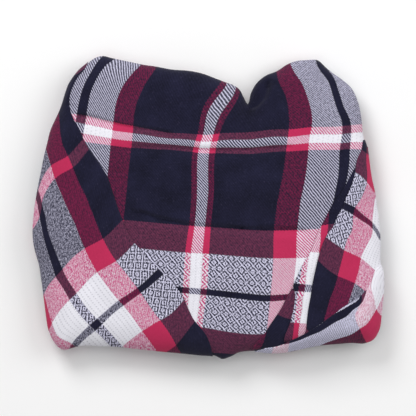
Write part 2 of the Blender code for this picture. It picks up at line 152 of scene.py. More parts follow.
# Soft troughs (deep above 0) and ridges (deep below 0) in a stretch: points along each, its depth,
# its half width to the left of its run, and to the right where that differs
PANEL_FOLDS = (
    (((-126.4, 93.3), (-111.4, 89.3), (-97.4, 85.3), (-75.4, 81.3), (-41.4, 76.3)), 3.6, 1.3, 6),
    (((-114.4, 84.3), (-75.4, 75.3), (-39.4, 70.3)), -0.6, 4),
    (((-73.4, 62.3), (-49.4, 61.8), (-11.4, 59.3), (6.6, 58.9), (40.6, 59.3), (76.6, 62.3)), 3.2, 1.4, 6),
    (((-63.4, 70.3), (-11.4, 65.3), (40.6, 66.8), (76.6, 69.8)), -0.9, 3),
    (((-23.4, 74.8), (30.6, 74.8)), 0.9, 3.4),
    (
        ((-69.4, -3.7), (-49.4, -10.2), (-21.4, -16.2), (4.6, -18.2), (40.6, -20.7), (88.6, -20.7)),
        4, 1.4, 8,
    ),
    (((-59.4, -15.7), (-21.4, -23.7), (40.6, -27.7), (80.6, -27.7)), -0.9, 4.5),
    (((-64.4, 3.3), (4.6, -8.7), (86.6, -11.7)), 0.9, 9),
    (((58.6, 121.3), (54.6, 110.3), (48.6, 103.3), (42.6, 100.8), (37.6, 104.3)), 4, 1.8, 8),
    (((38.1, 104.3), (36.6, 90.3), (30.6, 68.3)), 1.8, 6),
    (((-4.4, 113.3), (15.6, 73.3)), -0.9, 10),
    (((68.6, 124.3), (56.6, 68.3), (52.6, 8.3)), -0.9, 13),
    (((83.6, 140.3), (94.6, 116.3), (98.6, 88.3)), 0.9, 5),
    (((90.6, 133.3), (108.6, 90.3), (106.6, 18.3)), -0.8, 12),
    (((121.6, 123.3), (127.6, 73.3), (118.6, 3.3)), 1, 8),
    (((-37.4, 128.3), (-44.4, 88.3)), 0.9, 10),
    (((-64.4, 136.3), (-85.4, 98.3)), 0.9, 6),
    (((-105.4, 138.3), (-117.4, 100.3)), -0.7, 7),
    (((-54.4, 48.3), (-57.4, 3.3)), -0.8, 12),
    (((-91.4, 58.3), (-87.4, 8.3)), 0.7, 6),
    (((16.6, 48.3), (30.6, -6.7)), 0.9, 10),
    (((-13.4, -27.7), (12.6, -31.7), (28.6, -37.7)), 0.9, 6),
    (((12.6, -53.7), (18.6, -116.7)), -0.9, 11),
    (((-39.4, -53.7), (-24.4, -91.7)), 0.8, 8),
    (((45.6, -53.7), (52.6, -116.7)), 0.9, 8),
    (((73.6, 43.3), (67.6, -11.7)), 0.8, 7),
    (((-102.4, 36.3), (-92.4, 37.3), (-82.4, 35.8), (-75.4, 38.3)), 1.5, 0.8, 2.2),
    (((-99.4, 58.8), (-90.4, 60.3), (-79.4, 58.3)), 1.1, 0.7, 2),
    (((-100.4, 28.8), (-91.4, 30.3), (-82.4, 28.3), (-72.4, 29.8)), 1.2, 0.8, 2.4),
    (((-121.4, 61.3), (-112.4, 58.8), (-106.4, 59.8), (-99.4, 57.3)), 1.2, 0.7, 2),
    (((60.6, 127.3), (68.6, 124.3), (73.6, 115.3), (75.6, 102.3)), 1.5, 1.6, 3.5),
)
LEFT_WRAP_FOLDS = (
    (((-123.4, 58.3), (-103.4, 18.3), (-89.4, -26.7)), 0.9, 6),
    (((-145.4, 68.3), (-125.4, 8.3), (-99.4, -53.7)), -0.9, 8),
    (((-161.4, 38.3), (-147.4, -6.7), (-125.4, -61.7), (-101.4, -101.7)), 0.9, 8),
    (((-77.4, -53.7), (-49.4, -91.7), (-33.4, -121.7)), 0.8, 7),
    (((-97.4, -76.7), (-67.4, -121.7)), -0.8, 9),
    (((-154.4, -83.7), (-131.4, -113.7)), -0.7, 8),
)
RIGHT_WRAP_FOLDS = (
    (((148.6, 28.3), (135.6, -11.7), (126.6, -53.7)), -0.9, 8),
    (((158.6, 8.3), (150.6, -31.7), (138.6, -81.7)), 0.8, 6),
    (((126.6, -6.7), (118.6, -53.7), (112.6, -101.7)), 0.8, 6),
    (((165.6, -16.7), (162.6, -53.7)), -0.7, 6),
    (((130.6, -73.7), (120.6, -109.7)), -0.7, 7),
)
LOWER_FOLD_FOLDS = (
    (((156.6, -94.7), (142.6, -111.7), (112.6, -129.7)), 0.7, 5),
    (((167.6, -91.7), (161.6, -113.7), (142.6, -129.7)), -0.6, 6),
)

# Where the cloth is brushed more or less than the rest of its stretch: x, y, reach, nap there
PANEL_NAP = (
    (-89.4, 128.3, 60, 0.35), (130.6, 123.3, 44, 0.65), (90.6, 128.3, 30, 0.55), (0.6, -6.7, 120, 0.25),
)
LOWER_FOLD_NAP = ((162.6, -91.7, 34, 0.92),)

# Where the woven lines run: for each cloth coordinate, the places that it passes through
PANEL_WARP = {
    -140.5: (
        (-111.4, 147.3), (-117.9, 136.3), (-124.4, 125.8), (-128.9, 112.3), (-131.4, 102.3),
        (-132.9, 93.3),
    ),
    -130.5: (
        (-93.8, 148.3), (-102.4, 144.8), (-110.1, 134.3), (-115.1, 124.3), (-118.4, 116.8),
        (-120.8, 105.3), (-122.4, 93.3),
    ),
    -99.5: (
        (-68.4, 142.3), (-74.9, 138.1), (-84.1, 126.3), (-90.4, 114.3), (-94.4, 100.3), (-95.9, 86.3),
        (-99, 61.3), (-101.6, 34.3),
    ),
    -77.5: (
        (-54, 139.6), (-61.4, 129.3), (-67.4, 117.3), (-72.4, 106.3), (-75.4, 93.3), (-75.9, 83.3),
        (-78, 60.3), (-81.4, 34.3), (-83.7, 7.7), (-85, -2.7),
    ),
    -11.5: (
        (12.4, 126.3), (5.6, 118.3), (-5.4, 102.3), (-8.4, 92.3), (-11, 75.8), (-16.4, 58.3),
        (-17.5, 18.3), (-19.4, -11.7), (-23.8, -41.7), (-26.6, -76.7),
    ),
    -5.5: (
        (17.5, 124.8), (11.6, 116.3), (1.2, 102.3), (-2.9, 92.3), (-5.4, 75.8), (-10.9, 58.3),
        (-12.6, 18.3), (-14, -11.7), (-18.2, -41.7), (-19.6, -76.7), (-20.8, -91.7),
    ),
    5.5: (
        (26.6, 119.6), (4.3, 75.8), (0.1, 58.3), (-0.6, 18.3), (-4.1, -11.7), (-6.9, -41.7),
        (-8.6, -76.7), (-10.9, -101.7), (-12.9, -117.7),
    ),
    11.5: (
        (30.6, 114.5), (10.4, 75.8), (6.1, 58.3), (4.3, 18.3), (2.1, -11.7), (0.1, -41.7), (-2, -76.7),
        (-5.4, -101.7), (-7.4, -117.7),
    ),
    77.5: (
        (67.4, 133.3), (69.6, 124.8), (75.6, 115.3), (77.6, 107.3), (79.3, 94.3), (79.8, 81.3),
        (76.6, 57.3), (73.6, 33.3), (68.6, 9.3), (66, -9.7), (64.1, -26.7), (63.9, -48.7),
    ),
    99.5: (
        (80.6, 145.3), (92.6, 126.3), (97.6, 112.3), (102.6, 95.3), (103.2, 84.3), (99.6, 70.3),
        (99, 53.3), (96.9, 35.3), (91.3, 7.3), (89.2, -11.7), (87.4, -26.7), (87.2, -48.7),
        (84.6, -71.7),
    ),
    130.5: (
        (107.4, 148.1), (119.3, 127.6), (124.9, 108), (132.6, 88.3), (133, 80.3), (130.2, 60.3),
        (129.6, 49.3), (128.6, 28.3), (125.3, 12.3), (123.6, 5.3),
    ),
    140.5: (
        (112.6, 144.3), (123.1, 133.3), (128.1, 120.3), (134.1, 100.9), (141.6, 86.3), (141.8, 78.3),
        (140.6, 58.9), (140.6, 46.3), (135.6, 21.3),
    ),
}
PANEL_WEFT = {
    -60: (
        (-111.4, 136.3), (-84.4, 131.3), (-54.4, 126.3), (-9.4, 122.3), (15.6, 120.8), (68.6, 126.3),
        (102.6, 128.3), (133.6, 129.3),
    ),
    -11: (
        (-123.4, 93.3), (-96.4, 86.8), (-77.4, 82.8), (-51.8, 77.8), (-11.4, 74.3), (8.6, 75.3),
        (40.6, 76.3), (68.6, 79.3), (102.6, 81.3), (133.6, 82.3), (151.6, 84.3),
    ),
    -4: (
        (-123.4, 83.3), (-95.4, 76.8), (-74.8, 74.3), (-51.8, 69.8), (-39.4, 68.3), (-11.4, 65.4),
        (5.6, 65.3), (40.6, 68.3), (79.6, 70.8), (101.1, 73.7), (131.6, 73.9), (151.6, 76.3),
    ),
    4: (
        (-125.4, 75.3), (-97.8, 70.3), (-74.8, 67.8), (-52.4, 66.4), (-39.4, 65.5), (-13.4, 62.4),
        (5.6, 61.8), (40.6, 61), (78.6, 63.8), (99.6, 65.3), (131.6, 64.8), (152.6, 65.8),
    ),
    11: (
        (-123.4, 66.3), (-100.4, 63.3), (-78.4, 60.3), (-51.8, 58.7), (-9.8, 55.3), (8.6, 55.3),
        (68.6, 56.8), (99.6, 58.3), (130.6, 58.9), (141.6, 59.7),
    ),
    85: (
        (-85, -11.7), (-51.8, -14.7), (-21.4, -17.3), (0.1, -18.7), (40.6, -21.7), (63.2, -22.3),
        (87.1, -21.7), (106.6, -20.7),
    ),
    112: (
        (-68.4, -40.3), (-26.4, -44.2), (-1.4, -45.5), (40.6, -49), (63.2, -50), (87.1, -49.7),
        (99.6, -49.2),
    ),
    148: ((-35.4, -78), (-26.4, -78.7), (-4.4, -80.7), (33.6, -84.7), (62.6, -86.7), (79.6, -85.7)),
    154.5: ((-26.4, -85), (-4.4, -86.8), (33.6, -91), (61.6, -93.2), (77.2, -91.7)),
    190.5: ((-8.4, -118.7), (19.6, -123.7), (44.6, -126.2), (54.6, -125.7)),
    217.5: ((-4.4, -143.7), (30.6, -145.7), (52.6, -144.7)),
}
LEFT_WRAP_WARP = {
    77.5: (
        (-152.4, 108.3), (-150.4, 93.3), (-149.4, 78.3), (-146.9, 63.3), (-141.9, 53.8), (-135.4, 38.3),
        (-130.4, 25.3), (-123.4, 11.8), (-116.4, -6.7), (-106.4, -30.7), (-93.4, -52.7), (-82.9, -65.7),
        (-71.4, -80.7), (-59.4, -98.7), (-49.4, -111.7), (-39.4, -125.7), (-33.4, -136.7),
    ),
    99.5: (
        (-158.7, 42.8), (-154.4, 28.3), (-148.7, 15.3), (-142.4, 0.3), (-134.4, -15.7), (-124.9, -40),
        (-112.4, -64), (-91.4, -92), (-85.8, -97.7), (-67.4, -122.8), (-59.4, -133.7),
    ),
    130.5: (
        (-168.4, 5.3), (-162.4, -21.7), (-146.9, -59.7), (-132.4, -85.2), (-112.4, -110.5),
        (-106.8, -115.7), (-87.4, -137.3),
    ),
    140.5: (
        (-171.4, 5.3), (-166.9, -21.7), (-154.4, -68.2), (-139.9, -91.7), (-120.4, -116.7),
        (-114.4, -122.7), (-100.4, -136.7),
    ),
    171.5: ((-164.9, -87.7), (-161.4, -101.7), (-157.4, -115.2), (-151.4, -128.7), (-136.9, -135.2)),
}
LEFT_WRAP_WEFT = {
    -85: ((-134.4, 133.8), (-129.4, 135.8), (-124.4, 140.8)),
    -6.5: (
        (-126.1, 69.3), (-141.3, 52.4), (-158.7, 42.8), (-166.4, 31.3), (-170.9, 18.3), (-174.4, 3.3),
    ),
    6.5: (
        (-120.4, 59.3), (-136.2, 40.7), (-154.1, 29.9), (-162.4, 19.3), (-167.9, 8.3), (-171.9, -13.7),
    ),
    85: (
        (-87.9, -12.7), (-106.4, -30.5), (-124.9, -40.2), (-137.9, -50.3), (-146.7, -60.7),
        (-154.4, -69.2), (-162.4, -78.7), (-165.2, -85.7),
    ),
    112: (
        (-74.8, -34.8), (-92.9, -52.7), (-112.4, -64), (-132, -84.7), (-140.1, -92), (-157.1, -114),
        (-160.4, -122.7),
    ),
    148: (
        (-53.4, -61.7), (-72.4, -79.7), (-91.4, -92), (-112.2, -109.7), (-120.6, -116.8),
        (-136.4, -133.2),
    ),
    154.5: (
        (-46.4, -67.2), (-67.4, -84), (-85.8, -97.7), (-106.4, -115.7), (-114.4, -123.5),
        (-131.4, -138.2),
    ),
    190.5: ((-25.9, -92.2), (-38.4, -105.7), (-51.4, -112.7), (-67.4, -122.8), (-85.4, -136.7)),
    217.5: ((-14.4, -112.7), (-24.4, -125.7), (-33.4, -137.2)),
}
RIGHT_WRAP_WARP = {
    77.5: (
        (156.9, 46.8), (157.9, 34.3), (157.4, 23.8), (152.3, 10), (145.9, 1.3), (143.9, -5.7),
        (143.6, -11.7), (143.1, -21.5), (137.3, -31.7), (135, -42.2), (128.2, -67.7), (125.9, -77.7),
        (121.6, -87.7), (115.6, -108.7),
    ),
    99.5: (
        (165.5, 9.3), (164.3, -2.1), (163, -14.1), (163.6, -19.7), (162.6, -27.7), (155.6, -40.5),
        (151.6, -49.5), (150, -60.5), (145.8, -74.2), (140.1, -91.7), (134.6, -109.7),
    ),
    130.5: ((175.1, -41.7), (171.2, -55.7), (167.6, -83.7), (161.6, -101.7)),
    140.5: ((179.6, -53.7), (176.6, -71.7)),
}
RIGHT_WRAP_WEFT = {
    85: ((152.1, 58.8), (155.6, 56.3), (159.6, 52.8)),
    112: ((146.1, 35.8), (151.1, 32.9), (157.6, 26.3), (160.6, 21.8), (164.2, 16.5)),
    148: ((137.1, 5.2), (145.9, 1.3), (152.6, -5.2), (163, -13.7), (166.6, -18.7), (169.6, -24.7)),
    154.5: ((133.3, -1), (144.1, -7.2), (152.6, -12.7), (162.6, -19.7), (167.1, -24.5), (169.6, -30.7)),
    190.5: ((117.2, -29), (123.6, -34.2), (130.5, -38.3), (135, -42.2), (151.6, -49.7), (164.3, -60.8)),
    217.5: ((110.4, -53.7), (119.6, -62.3), (128.2, -67.7), (145.2, -74.7), (152.6, -80.2)),
}
LOWER_FOLD_WARP = {
    124: ((161.1, -72.7), (166.1, -61.7), (172.1, -56.7)),
    140.5: (
        (151.1, -90.5), (145.1, -94.5), (134.9, -100), (127.2, -104), (118.1, -109.5), (100.4, -121.5),
        (86.6, -130.5),
    ),
    130.5: (
        (156.6, -86.7), (153.4, -89.5), (145.1, -100), (137.1, -108.7), (119.6, -118), (110.2, -123.7),
        (94.4, -130), (86.6, -132.5), (78.6, -135.5), (60.6, -139),
    ),
    99.5: (
        (174.8, -83.7), (166.9, -101.2), (157.6, -115.7), (150.1, -120), (140.6, -126.7), (121.6, -133),
        (110.6, -137.7), (90.6, -142), (77.6, -144.3),
    ),
    77.5: ((173.6, -113.7), (162.6, -134.7), (120.6, -139.2), (90.6, -145.7)),
}
LOWER_FOLD_WEFT = {
    190.5: ((166.1, -61.7), (161.6, -80.2), (166.9, -101.2), (171.6, -106.7), (174.6, -111.7)),
    217.5: ((153.1, -89.7), (145.6, -105.7), (150.3, -120.3), (156.6, -133.7), (159.6, -137.7)),
    296: ((80.1, -133.7), (78.6, -143.5)),
    309: ((64.6, -138.2), (62.1, -145.3)),
}
INNER_WARP = {
    -11.5: (
        (98.1, -37.7), (93.1, -56.7), (89.6, -74.7), (88.6, -83.7), (86.8, -94.7), (85.2, -105.7),
        (84.6, -114.7), (83.1, -128.7),
    ),
    -5.5: (
        (104.6, -31.7), (100.1, -45.7), (97.6, -59.7), (96.6, -76.7), (95.6, -83.7), (93.6, -101.7),
        (91, -114.7), (89.4, -128.7),
    ),
    5.5: (
        (111.6, -17.7), (110.6, -26.7), (110.1, -36.7), (109.6, -44.2), (106.6, -62.7), (104.3, -76.7),
        (102.1, -83.7), (99.2, -101.7), (97.3, -114.7), (95.6, -126.7),
    ),
    11.5: ((119.6, -3.7), (119.1, -16.7), (118.1, -26.7), (116.6, -36.7), (115.6, -43.7)),
}
INNER_WEFT = {
    85: ((109.6, -17.7), (112.1, -17.1), (118.6, -16.2), (130.6, -14.7)),
    112: ((100.6, -43.7), (109.6, -44.2), (118.6, -44.7)),
    148: ((82.6, -74.7), (89.6, -75.2), (96.6, -76), (103.6, -76.7)),
    154.5: ((81.6, -82.7), (88.6, -83.2), (95.6, -83.7), (101.6, -84)),
    190.5: ((79.6, -113.7), (84.6, -114.3), (90.6, -114.7), (96.6, -115.2)),
}
TAIL_WARP = {
    77.5: ((57.1, -122.7), (54.6, -132.5), (51, -140.2)),
    40: ((90.6, -111.7), (86.6, -131.7)),
}
TAIL_WEFT = {
    190.5: ((78.6, -79.7), (88.6, -80.2), (98.6, -80.7)),
    217.5: ((68.9, -106.5), (75, -109.3), (81.6, -111), (90.6, -112.7)),
}


class ScarfSizes(bpy.types.PropertyGroup):
    """Sizes of the folded bundle"""

    cloth: bpy.props.FloatProperty(
        name="Cloth", description="Thickness of the brushed cloth", default=1.0 * MM, unit="LENGTH"
    )
    step: bpy.props.FloatProperty(
        name="Step",
        description="How far one more cloth underneath lifts a stretch",
        default=2.0 * MM, unit="LENGTH",
    )
    rim_step: bpy.props.FloatProperty(
        name="Rim step",
        description="The same where the cloths are pressed round the side",
        default=1.2 * MM, unit="LENGTH",
    )
    rim_height: bpy.props.FloatProperty(
        name="Rim height",
        description="Height at which the bundle is widest",
        default=22 * MM, unit="LENGTH",
    )
    shoulder_height: bpy.props.FloatProperty(
        name="Shoulder height",
        description="Height at which the round side meets the top",
        default=36 * MM, unit="LENGTH",
    )
    shoulder: bpy.props.FloatProperty(
        name="Shoulder", description="How far in from the rim that is", default=26 * MM, unit="LENGTH"
    )
    dome: bpy.props.FloatProperty(
        name="Dome", description="How much higher the middle is", default=5 * MM, unit="LENGTH"
    )
    leaf: bpy.props.FloatProperty(
        name="Leaf",
        description="Height of one folded leaf under the cover",
        default=3.2 * MM, unit="LENGTH",
    )


def shade(red, green, blue):
    """A colour given as it is seen, from 0 to 255, in the scene's linear values."""
    seen = [part / 255 for part in (red, green, blue)]
    return tuple(part / 12.92 if part < 0.04045 else ((part + 0.055) / 1.055) ** 2.4 for part in seen)


class ScarfColours(bpy.types.PropertyGroup):
    """Yarn colours of the plaid"""

    navy: bpy.props.FloatVectorProperty(
        name="Navy", description="Dark yarn", default=shade(26, 26, 46), subtype="COLOR", min=0, max=1
    )
    crimson: bpy.props.FloatVectorProperty(
        name="Crimson",
        description="Red yarn over red or white",
        default=shade(184, 44, 85), subtype="COLOR", min=0, max=1,
    )
    wine: bpy.props.FloatVectorProperty(
        name="Wine",
        description="Red warp where dark weft crosses it",
        default=shade(116, 28, 66), subtype="COLOR", min=0, max=1,
    )
    plum: bpy.props.FloatVectorProperty(
        name="Plum",
        description="Red weft where dark warp crosses it",
        default=shade(104, 48, 74), subtype="COLOR", min=0, max=1,
    )
    rose: bpy.props.FloatVectorProperty(
        name="Rose",
        description="Red yarn where white yarn crosses it",
        default=shade(186, 48, 112), subtype="COLOR", min=0, max=1,
    )
    white: bpy.props.FloatVectorProperty(
        name="White", description="Pale yarn", default=shade(230, 229, 237), subtype="COLOR", min=0, max=1
    )
    floor: bpy.props.FloatVectorProperty(
        name="Floor",
        description="Studio floor",
        default=shade(244, 244, 244), subtype="COLOR", min=0, max=1,
    )


def spline(points, at):
    """Points on a smooth curve through a table's rows, at places counted in rows."""
    points = np.array(points, float)
    at = np.clip(np.atleast_1d(np.array(at, float)), 0, len(points) - 1)
    steps = np.linalg.norm(np.diff(points[:, :2], axis=0), axis=1)
    knots = np.concatenate([[0], np.cumsum(np.maximum(steps, 1e-6))])
    slopes = np.gradient(points, knots, axis=0)
    before = np.minimum(at.astype(int), len(points) - 2)
    share = (at - before)[:, None]
    width = (knots[before + 1] - knots[before])[:, None]
    curve = points[before] * (1 + 2 * share) * (1 - share) ** 2
    curve += points[before + 1] * share**2 * (3 - 2 * share)
    curve += slopes[before] * width * share * (1 - share) ** 2
    curve += slopes[before + 1] * width * share**2 * (share - 1)
    return curve


def smoothstep(share):
    """From 0 to 1 with a soft start and end."""
    share = np.clip(share, 0, 1)
    return share * share * (3 - 2 * share)


def even_steps(table, count):
    """Places along a table, in rows, so that steps along its edge are even."""
    fine = np.linspace(0, len(table) - 1, 40 * len(table))
    edge = spline([row[:2] for row in table], fine)
    run = np.concatenate([[0], np.cumsum(np.linalg.norm(np.diff(edge, axis=0), axis=1))])
    return np.interp(np.linspace(0, run[-1], count + 1), run, fine)


class Rim:
    """The bundle's outline, clockwise, with places on it counted in rows of its table."""

    WRAP = 3
    FINE = 6
    NEARBY = 0.3

    def __init__(self, table, step):
        self.rows = len(table)
        seen = [table[i % self.rows] for i in range(-self.WRAP, self.rows + self.WRAP + 1)]
        self.table = np.array(seen, float)
        self.step = step
        self.stations = np.arange(self.rows * self.FINE) / self.FINE
        self.line = self.point(self.stations)

    def seen(self, station):
        return spline(self.table, np.mod(station, self.rows) + self.WRAP)

    def inward(self, station):
        """Unit vectors that point into the bundle."""
        ahead = self.seen(np.add(station, self.NEARBY))[:, :2]
        along = ahead - self.seen(np.subtract(station, self.NEARBY))[:, :2]
        along /= np.linalg.norm(along, axis=1)[:, None]
        return np.stack([along[:, 1], -along[:, 0]], axis=1)

    def point(self, station):
        """The centre panel's rim, as far inside the outline as the cloths over it are thick."""
        seen = self.seen(station)
        return seen[:, :2] * MM + self.inward(station) * seen[:, 2:] * self.step

    def nearest(self, x, y):
        """The station nearest to a place given in millimetres."""
        away = np.linalg.norm(self.line - np.array([x, y]) * MM, axis=1)
        return float(self.stations[away.argmin()])

    def distance(self, places):
        """How far each place inside the outline is from it."""
        start = self.line
        run = np.roll(start, -1, axis=0) - start
        found = []
        for some in np.array_split(places, max(1, len(places) // 2000)):
            away = some[:, None, :] - start[None]
            share = np.clip((away * run).sum(2) / (run * run).sum(1), 0, 1)
            found.append(np.linalg.norm(away - share[..., None] * run, axis=2).min(axis=1))
        return np.concatenate(found)


class Chart:
    """A smooth field through cloth coordinates read at places on the bundle."""

    SCALE = 100
    EASE = 8e-5

    def __init__(self, lines):
        self.places = np.array([place for line in lines.values() for place in line]) / self.SCALE
        values = np.array([value for value, line in lines.items() for place in line])
        count = len(self.places)
        bending = self.kernel(self.places) + self.EASE * count * np.eye(count)
        plane = np.column_stack([np.ones(count), self.places])
        system = np.block([[bending, plane], [plane.T, np.zeros((3, 3))]])
        self.weights = np.linalg.solve(system, np.concatenate([values, np.zeros(3)]))

    def kernel(self, places):
        away = np.linalg.norm(places[:, None] - self.places[None], axis=2)
        return away**2 * np.log(np.maximum(away, 1e-9))

    def at(self, places):
        places = places / MM / self.SCALE
        plane = np.column_stack([np.ones(len(places)), places])
        return self.kernel(places) @ self.weights[:-3] + plane @ self.weights[-3:]


def pressed(places, folds):
    """How far the soft folds of a table press a cloth down at each place."""
    depth = np.zeros(len(places))
    for line, deep, *half_widths in folds:
        line = np.array(line) * MM
        nearest = np.full(len(places), np.inf)
        on_left = np.zeros(len(places), bool)
        for start, end in zip(line, line[1:]):
            run = end - start
            share = np.clip((places - start) @ run / (run @ run), 0, 1)
            away = places - start - share[:, None] * run
            far = np.linalg.norm(away, axis=1)
            nearer = far < nearest
            on_left[nearer] = (run[0] * away[:, 1] - run[1] * away[:, 0] > 0)[nearer]
            nearest = np.minimum(nearest, far)
        half_width = np.where(on_left, half_widths[0], half_widths[-1]) * MM
        depth += deep * MM * np.exp(-((nearest / half_width) ** 2))
    return depth


def droop(from_edge, reach):
    """How far a cloth's free edge sinks, within a reach from it."""
    return EDGE_DROOP * (1 - smoothstep(from_edge / reach))


def unevenness(places, strength):
    """Slow swells of hand-folded cloth, which no straight line of the tables gives."""
    x, y = places[:, 0] / MM, places[:, 1] / MM
    swell = np.sin(x / 19 + 0.7 * np.sin(y / 31)) * np.sin(y / 23 + 0.9 * np.sin(x / 27) + 1.3)
    swell += 0.45 * np.sin(x / 8.5 + y / 14 + 1.1 * np.sin(y / 17)) * np.sin(y / 11 - x / 37)
    return swell * strength


class Bundle:
    """The folded bundle's form, which every stretch of cloth lies on."""

    TUCK_HEIGHT = 13 * MM
    TUCK_IN = 9 * MM
    TUCK_END = 22 * MM
    SIDE_TURNS = np.linspace(0.07, 1, 12)
    DOME_REACH = 95 * MM
    SIDE_FOLD = 0.7 * MM

    def __init__(self, sizes):
        self.sizes = sizes
        self.rim = Rim(OUTLINE, sizes.rim_step)

    def height(self, inset, lift):
        """Height of a cloth's outer face, so far in from the rim and with so many cloths under it."""
        sizes = self.sizes
        slope = np.clip((sizes.shoulder - inset) / (sizes.shoulder + lift * sizes.rim_step), 0, 1)
        edge = (sizes.shoulder_height - sizes.rim_height + lift * sizes.step) * np.sqrt(1 - slope**2)
        return sizes.rim_height + edge + sizes.dome * smoothstep(inset / self.DOME_REACH)

    def side(self, station, lift):
        """A cover's points round the side and tucked under, and where each lies once unrolled."""
        rim = self.rim.point(station)[0]
        inward = self.rim.inward(station)[0]
        reach = lift * self.sizes.rim_step
        drop = self.sizes.rim_height - self.TUCK_HEIGHT + reach
        turn = self.SIDE_TURNS * math.pi / 2
        inset = self.TUCK_IN - (self.TUCK_IN + reach) * np.cos(turn)
        height = self.sizes.rim_height - drop * np.sin(turn)
        swell = np.sin(station * 1.9 + 0.8 * math.sin(station * 0.7)) + 0.6 * np.sin(station * 3.7 + 1.0)
        inset = inset + self.SIDE_FOLD * (swell + 1.2) * np.sin(turn) ** 2
        inset = np.append(inset, [(self.TUCK_IN + self.TUCK_END) / 2, self.TUCK_END])
        height = np.append(height, [height[-1], height[-1]])
        places = rim + inward * inset[:, None]
        whole = np.column_stack([np.append(-reach, inset), np.append(self.sizes.rim_height, height)])
        unrolled = np.cumsum(np.linalg.norm(np.diff(whole, axis=0), axis=1)) + reach
        return np.column_stack([places, height]), rim - inward * unrolled[:, None]


def cloth_piece(name, sections, charts, base_nap, nap_patches=()):
    """A stretch of cloth through sections of points on its outer face, with its cloth map and nap."""
    sizes = bpy.context.scene.scarf_sizes
    solid, flat = sections
    along, across = len(solid) - 1, len(solid[0]) - 1
    places = flat.reshape(-1, 2)
    warp, weft = (Chart(chart).at(places).reshape(flat.shape[:2]) for chart in charts)
    nap = nap_at(places, nap_patches, base_nap).reshape(flat.shape[:2])
    bm = bmesh.new()
    bmesh.ops.create_grid(bm, x_segments=across, y_segments=along, size=1)
    cells = {}
    nap_layer = bm.verts.layers.float.new(NAP_LAYER)
    for vert in bm.verts:
        i = round((vert.co.x + 1) / 2 * across)
        j = round((vert.co.y + 1) / 2 * along)
        cells[vert] = (j, i)
        vert.co = solid[j][i]
        vert[nap_layer] = nap[j][i]
    cloth_map = bm.loops.layers.uv.new(CLOTH_MAP)
    for face in bm.faces:
        for loop in face.loops:
            loop[cloth_map].uv = (warp[cells[loop.vert]], weft[cells[loop.vert]])
    bm.normal_update()
    top_faces = [face for face in bm.faces if face.calc_center_median().z > sizes.rim_height]
    if sum(face.normal.z * face.calc_area() for face in top_faces) < 0:
        bmesh.ops.reverse_faces(bm, faces=bm.faces)
    return finished(name, bm, sizes.cloth)


def finished(name, bm, thickness):
    """A mesh object of one cloth's thickness, inwards from its outer face."""
    mesh = bpy.data.meshes.new(name)
    bm.to_mesh(mesh)
    bm.free()
    mesh.shade_smooth()
    obj = bpy.data.objects.new(name, mesh)
    bpy.context.scene.collection.objects.link(obj)
    wall = obj.modifiers.new("cloth", "SOLIDIFY")
    wall.thickness = thickness
    wall.offset = -1
    wall.use_even_offset = False
    return obj


class Value:
    """A number in a material, on which Python's operators add Math nodes."""

    def __init__(self, finish, socket):
        self.finish = finish
        self.socket = socket

    def math(self, operation, *inputs, clamp=False):
        settings = {"operation": operation, "use_clamp": clamp}
        node = self.finish.node("ShaderNodeMath", settings, dict(enumerate(inputs)))
        return Value(self.finish, node.outputs[0])

    def __add__(self, other):
        return self.math("ADD", self, other)

    def __radd__(self, other):
        return self.math("ADD", other, self)

    def __sub__(self, other):
        return self.math("SUBTRACT", self, other)

    def __rsub__(self, other):
        return self.math("SUBTRACT", other, self)

    def __mul__(self, other):
        return self.math("MULTIPLY", self, other)

    def __rmul__(self, other):
        return self.math("MULTIPLY", other, self)

    def __truediv__(self, other):
        return self.math("DIVIDE", self, other)

    def __neg__(self):
        return self.math("MULTIPLY", self, -1)

    def __abs__(self):
        return self.math("ABSOLUTE", self)

    def to_and_fro(self, length):
        """Runs from 0 up to the length and back down again."""
        return self.math("PINGPONG", self, length)

    def past(self, edge, soft):
        """From 0 to 1 as the value passes an edge, over a soft width."""
        return self.math("MULTIPLY_ADD", self, 1 / soft, 0.5 - edge / soft, clamp=True)

    def centred(self):
        """From -0.5 to 0.5 within each unit."""
        return self.math("FRACT", self) - 0.5

    def sine(self):
        return self.math("SINE", self)

    def wave(self):
        """A cosine, one turn for each unit."""
        return self.math("COSINE", self * (2 * math.pi))


class Finish:
    """A material under construction."""

    def __init__(self, name):
        self.material = bpy.data.materials.new(name)
        self.material.use_nodes = True
        self.tree = self.material.node_tree
        self.shader = self.tree.nodes["Principled BSDF"]

    def node(self, kind, settings=None, inputs=None):
        """One node: its settings first, then values or links for its sockets by name or number."""
        node = self.tree.nodes.new(kind)
        for name, value in (settings or {}).items():
            setattr(node, name, value)
        for key, value in (inputs or {}).items():
            self.feed(node.inputs[key], value)
        return node

    def feed(self, socket, value):
        if isinstance(value, Value):
            value = value.socket
        if isinstance(value, bpy.types.NodeSocket):
            self.tree.links.new(value, socket)
        else:
            socket.default_value = value

    def colour(self, factor, first, second, blend="MIX"):
        """Two colours mixed."""
        settings = {"data_type": "RGBA", "blend_type": blend, "clamp_factor": True}
        node = self.node("ShaderNodeMix", settings, {0: factor, 6: first, 7: second})
        return node.outputs[2]

    def cloth_place(self):
        """The cloth's own coordinates: across the warp, along the weft, and both as a vector."""
        place = self.node("ShaderNodeUVMap", {"uv_map": CLOTH_MAP}).outputs["UV"]
        parts = self.node("ShaderNodeSeparateXYZ", inputs={0: place})
        return Value(self, parts.outputs[0]), Value(self, parts.outputs[1]), place

    def noise(self, place, scale, detail=2.0, roughness=0.5):
        settings = {"noise_dimensions": "2D"}
        inputs = {"Vector": place, "Scale": scale, "Detail": detail, "Roughness": roughness}
        return Value(self, self.node("ShaderNodeTexNoise", settings, inputs).outputs[0])

    def surface(self, inputs):
        for name, value in inputs.items():
            self.feed(self.shader.inputs[name], value)


def opaque(colour):
    return (*colour, 1.0)


